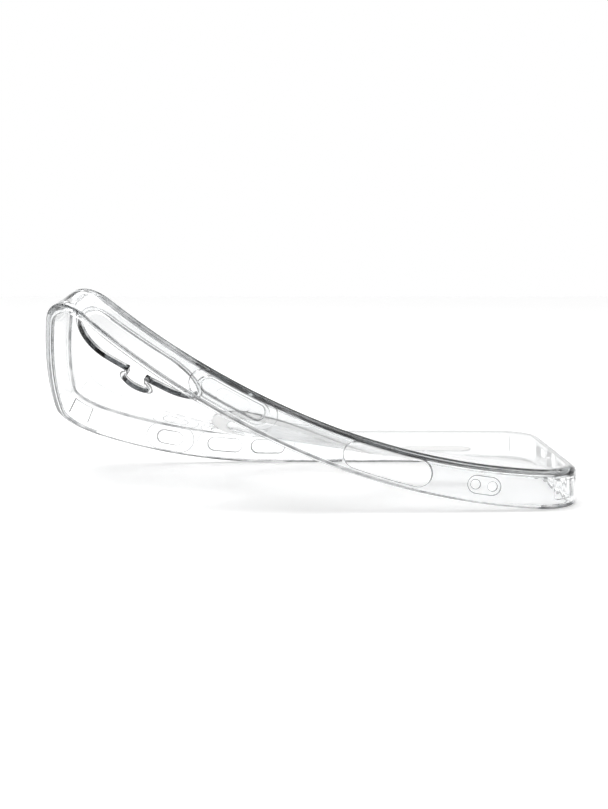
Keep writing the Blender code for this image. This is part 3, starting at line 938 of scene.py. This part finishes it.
def tinted(add, colour, other, factor):
    """A colour that a pattern mixes with another."""
    shade = add("ShaderNodeMix", {"data_type": "RGBA"}, Factor=factor)
    for socket, value in zip(shade.inputs[6:8], (colour, other)):
        fill(socket, value if isinstance(value, bpy.types.NodeSocket) else (*value, 1))
    return shade.outputs[2]


def noise(add, place, scale, detail, **inputs):
    return add("ShaderNodeTexNoise", Vector=place, Scale=scale, Detail=detail, **inputs).outputs["Fac"]


def bumped(add, strength, distance, height):
    return add("ShaderNodeBump", Strength=strength, Distance=distance, Height=height).outputs["Normal"]


def clear_plastic(s, name, colour, ior, roughness, ripple):
    """Clear moulded plastic: slow ripples from the mould, fine handling scuffs, and painted shade, a dark
    grey broken up by streaks, on its edges.
    """
    made, add = new_finish(name)
    place = add("ShaderNodeTexCoord").outputs["Object"]
    slow = noise(add, place, 70.0, 2.0)
    scuff_place = add("ShaderNodeMapping", Vector=place, Scale=(1.0, 6.0, 1.0)).outputs["Vector"]
    scuffs = noise(add, scuff_place, 900.0, 6.0, Roughness=0.7)
    rippled = bumped(add, 1.0, ripple, slow)
    clouds = noise(add, place, 25.0, 1.0)
    body = tinted(add, colour, [0.985 * part for part in colour], clouds)
    # painted shade: each face's edge mark, broken up by streaks, mixes the dark grey into the body's tint
    edge = add("ShaderNodeAttribute", {"attribute_name": "edge"}).outputs["Fac"]
    shade_streaks = noise(add, place, 240.0, 3.0)
    edge_shade_strength = worked_out(add, "MULTIPLY", edge, spread(add, shade_streaks, 0.5, 1.0, 0.35, 0.65))
    shader = add(
        "ShaderNodeBsdfPrincipled",
        Base_Color=tinted(add, body, s.edge_shade_colour, edge_shade_strength),
        Roughness=spread(add, scuffs, roughness * 0.4, roughness * 1.6, 0.35, 0.7),
        IOR=ior,
        Normal=rippled,
        Transmission_Weight=1.0,
    )
    depth = add("ShaderNodeVolumeAbsorption", Color=(*s.depth_tint, 1), Density=s.depth_density)
    add("ShaderNodeOutputMaterial", Surface=shader.outputs["BSDF"], Volume=depth.outputs["Volume"])
    return made


def film_finish(colour):
    """Printed white film with a fine grain and a satin sheen."""
    made, add = new_finish("white_film")
    place = add("ShaderNodeTexCoord").outputs["Object"]
    grain = noise(add, place, 2600.0, 3.0)
    mottle = noise(add, place, 160.0, 2.0)
    bump = bumped(add, 0.3, 0.00001, grain)
    shader = add(
        "ShaderNodeBsdfPrincipled",
        Base_Color=tinted(add, colour, [0.95 * part for part in colour], mottle),
        Roughness=spread(add, grain, 0.38, 0.55, 0.3, 0.7),
        Normal=bump,
    )
    add("ShaderNodeOutputMaterial", Surface=shader.outputs["BSDF"])
    return made


def magnet_finish(colour):
    """Nickel plating with a fine orange-peel and dull patches."""
    made, add = new_finish("magnet_plating")
    place = add("ShaderNodeTexCoord").outputs["Object"]
    peel = noise(add, place, 1800.0, 2.0)
    patches = noise(add, place, 300.0, 4.0)
    bump = bumped(add, 0.4, 0.00001, peel)
    shader = add(
        "ShaderNodeBsdfPrincipled",
        Base_Color=tinted(add, colour, [0.85 * part for part in colour], patches),
        Metallic=1.0,
        Roughness=spread(add, patches, 0.22, 0.42, 0.3, 0.7),
        Normal=bump,
    )
    add("ShaderNodeOutputMaterial", Surface=shader.outputs["BSDF"])
    return made


def rim_finish(s):
    found = bpy.data.materials.get("clear_soft")
    return found or clear_plastic(s, "clear_soft", s.rim_tint, 1.49, 0.03, 0.00004)


# ---------------------------------------------------------------- operators
class CASE_OT_rim(bpy.types.Operator):
    """Build the soft clear rim with its openings, button windows and corner pockets"""

    bl_idname = "case.rim"
    bl_label = "Rim"

    def execute(self, context):
        s = sizes()
        coat = rim_finish(s)
        rim = swept_rim(s, coat)
        mark_creases(s, rim)
        combine(rim, "DIFFERENCE", button_cuts(s) + wall_cuts(s) + corner_cuts(s))
        mark(rim, PLAIN, axis=1, least=SQUARE_ON)
        clear_pockets(s, rim)
        finish_piece(s, rim, coat, "shell", ["bumper_frame"])
        return {"FINISHED"}


class CASE_OT_back(bpy.types.Operator):
    """Build the hard clear back sheet with its camera opening and the recesses for the magnets"""

    bl_idname = "case.back"
    bl_label = "Back sheet"

    def execute(self, context):
        s = sizes()
        coat = clear_plastic(s, "clear_hard", s.sheet_tint, 1.55, 0.015, 0.00002)
        sheet = mark(sheet_body(s), ROUNDED, axis=2, most=SQUARE_ON)
        combine(sheet, "UNION", [mark(rim, ROUNDED, axis=2, most=SQUARE_ON) for rim in sheet_rims(s)])
        combine(sheet, "DIFFERENCE", sheet_cuts(s))
        mark(sheet, PLAIN, axis=2, least=SQUARE_ON)
        finish_piece(s, sheet, coat, "shell", ["back_panel"])
        return {"FINISHED"}


class CASE_OT_films(bpy.types.Operator):
    """Build the white film over both sides of the magnets"""

    bl_idname = "case.films"
    bl_label = "White film"

    def execute(self, context):
        s = sizes()
        coat = film_finish(s.film_tint)
        for side, low in (("inner", s.inner_z), ("outer", s.outer_z - s.film)):
            high = low + s.film
            ring = ring_hoop(s, f"ring_film_{side}", s.film_low, s.film_high, low, high)
            finish_piece(s, ring, coat, "shell", [f"ring_cover_{side}"])
            outline = pill(s.bar_centre, s.bar_length, s.bar_width, s.pill_steps)
            bar = upright(f"bar_film_{side}", [(outline, low), (outline, high)])
            finish_piece(s, bar, coat, "shell", [f"bar_cover_{side}"])
        return {"FINISHED"}


class CASE_OT_magnets(bpy.types.Operator):
    """Build the ring of magnets and the alignment bar's magnet"""

    bl_idname = "case.magnets"
    bl_label = "Magnets"

    def execute(self, context):
        s = sizes()
        coat = magnet_finish(s.magnet_tint)
        ring = outline_object("magnet_ring", magnet_section(s))
        inputs = {
            "Count": s.magnets,
            "Radius": (s.ring_outer + s.ring_inner) / 4,
            "Gap": s.magnet_gap,
            "Steps": s.ring_steps // s.magnets,
            "Material": coat,
        }
        run_tree(ring, magnet_tree(), inputs)
        names = [f"magnet_{place + 1:02d}" for place in range(s.magnets)]
        finish_piece(s, ring, coat, "shell", names)
        length = s.bar_length - 2 * s.film_border
        width = s.bar_width - 2 * s.film_border
        outline = pill(s.bar_centre, length, width, s.pill_steps)
        high = s.magnet_low + s.magnet_thickness
        bar = upright("bar_magnet_core", [(outline, s.magnet_low), (outline, high)])
        finish_piece(s, bar, coat, "shell", ["bar_magnet"])
        return {"FINISHED"}


class CASE_OT_buttons(bpy.types.Operator):
    """Build the soft covers over the phone's side buttons"""

    bl_idname = "case.buttons"
    bl_label = "Button covers"

    def execute(self, context):
        s = sizes()
        coat = rim_finish(s)
        for node, body, side, from_top, length in s.buttons:
            cover = button_cover(s, node.replace("_cover", "_press"), side, from_top, length)
            mark(cover, PLAIN)
            mark(cover, CUT, axis=1, most=SQUARE_ON)
            finish_piece(s, cover, coat, body, [node])
        return {"FINISHED"}


class CASE_OT_studio(bpy.types.Operator):
    """Build the pale floor, the soft light and the camera"""

    bl_idname = "case.studio"
    bl_label = "Studio"

    def execute(self, context):
        s = sizes()
        half = s.floor_size / 2 * MM
        mesh = bpy.data.meshes.new("floor")
        corners = [(-half, -half, 0), (half, -half, 0), (half, half, 0), (-half, half, 0)]
        mesh.from_pydata(corners, [], [(0, 1, 2, 3)])
        floor = linked("floor", mesh)
        made, add = new_finish("floor_paper")
        place = add("ShaderNodeTexCoord").outputs["Object"]
        tooth = noise(add, place, 900.0, 3.0)
        bump = bumped(add, 0.05, 0.00005, tooth)
        shader = add(
            "ShaderNodeBsdfPrincipled",
            Base_Color=(*s.floor_tint, 1),
            Roughness=0.9,
            Normal=bump,
            Emission_Color=WHITE,
            Emission_Strength=s.floor_glow,
        )
        add("ShaderNodeOutputMaterial", Surface=shader.outputs["BSDF"])
        mesh.materials.append(made)
        self.light_room(s)
        self.place_camera(s)
        context.scene.view_settings.view_transform = "Standard"
        return {"FINISHED"}

    def light_room(self, s):
        """A white backdrop; the room that the plastic bends or reflects is darker aside and above."""
        world = bpy.data.worlds.new("studio")
        bpy.context.scene.world = world
        world.use_nodes = True
        world.node_tree.nodes.clear()
        add = node_maker(world.node_tree)
        place = add("ShaderNodeTexCoord").outputs["Generated"]
        parts = add("ShaderNodeSeparateXYZ", Vector=place).outputs
        aside = worked_out(add, "ABSOLUTE", parts["X"])
        over = spread(add, parts["Z"], s.horizon_light, s.zenith_light, *OVERHEAD_FADE, "SMOOTHSTEP")
        beside = spread(add, aside, s.horizon_light, s.side_light, *SIDE_FADE, "SMOOTHSTEP")
        darker = worked_out(add, "MINIMUM", over, beside)
        mix = add("ShaderNodeMixShader", Fac=add("ShaderNodeLightPath").outputs["Is Camera Ray"])
        fill(mix.inputs[1], add("ShaderNodeBackground", Color=WHITE, Strength=darker).outputs["Background"])
        fill(mix.inputs[2], add("ShaderNodeBackground", Color=WHITE).outputs["Background"])
        add("ShaderNodeOutputWorld", Surface=mix.outputs["Shader"])
        window = self.light("window", "SUN", s.window_power)
        window.data.angle = math.radians(WINDOW_SPREAD)
        window.rotation_euler = [math.radians(degrees) for degrees in WINDOW_TURN]
        lamp = self.light("overhead", "AREA", s.key_power)
        lamp.data.shape = "RECTANGLE"
        lamp.data.size, lamp.data.size_y = LAMP_SIZE
        lamp.location = LAMP_PLACE
        paths = bpy.context.scene.cycles
        paths.max_bounces = paths.transmission_bounces = LIGHT_BOUNCES
        paths.glossy_bounces = GLOSS_BOUNCES

    def light(self, name, kind, power):
        made = bpy.data.lights.new(name, kind)
        made.energy = power
        return linked(name, made)

    def place_camera(self, s):
        lens = bpy.data.cameras.new("camera")
        lens.lens = s.camera_lens
        lens.sensor_width = SENSOR_WIDTH
        camera = linked("camera", lens)
        camera.location = CAMERA_PLACE
        camera.rotation_euler = (math.pi / 2 - s.camera_pitch, 0, 0)
        bpy.context.scene.camera = camera


# ---------------------------------------------------------------- sidebar
class CASE_PT_sidebar(bpy.types.Panel):
    """The case's pieces, with the sizes and colours that they are made from"""

    bl_idname = "CASE_PT_sidebar"
    bl_label = "Clear Phone Case"
    bl_space_type = "VIEW_3D"
    bl_region_type = "UI"
    bl_category = "Phone Case"

    def draw(self, context):
        for group, kind in GROUPS.items():
            box = self.layout.box()
            box.label(text=kind.__doc__)
            held = getattr(context.scene, group)
            for prop in kind.__annotations__:
                box.prop(held, prop)
        for operator in OPERATORS:
            self.layout.operator(operator.bl_idname)


OPERATORS = (
    CASE_OT_rim,
    CASE_OT_back,
    CASE_OT_films,
    CASE_OT_magnets,
    CASE_OT_buttons,
    CASE_OT_studio,
)


def register():
    for group, kind in GROUPS.items():
        bpy.utils.register_class(kind)
        setattr(bpy.types.Scene, group, bpy.props.PointerProperty(type=kind))
    for kind in (*OPERATORS, CASE_PT_sidebar):
        bpy.utils.register_class(kind)


def unregister():
    for kind in (CASE_PT_sidebar, *reversed(OPERATORS)):
        bpy.utils.unregister_class(kind)
    for group, kind in GROUPS.items():
        delattr(bpy.types.Scene, group)
        bpy.utils.unregister_class(kind)


def main():
    register()
    bpy.ops.case.rim()
    bpy.ops.case.back()
    bpy.ops.case.films()
    bpy.ops.case.magnets()
    bpy.ops.case.buttons()
    bpy.ops.case.studio()


if __name__ == "__main__":
    main()
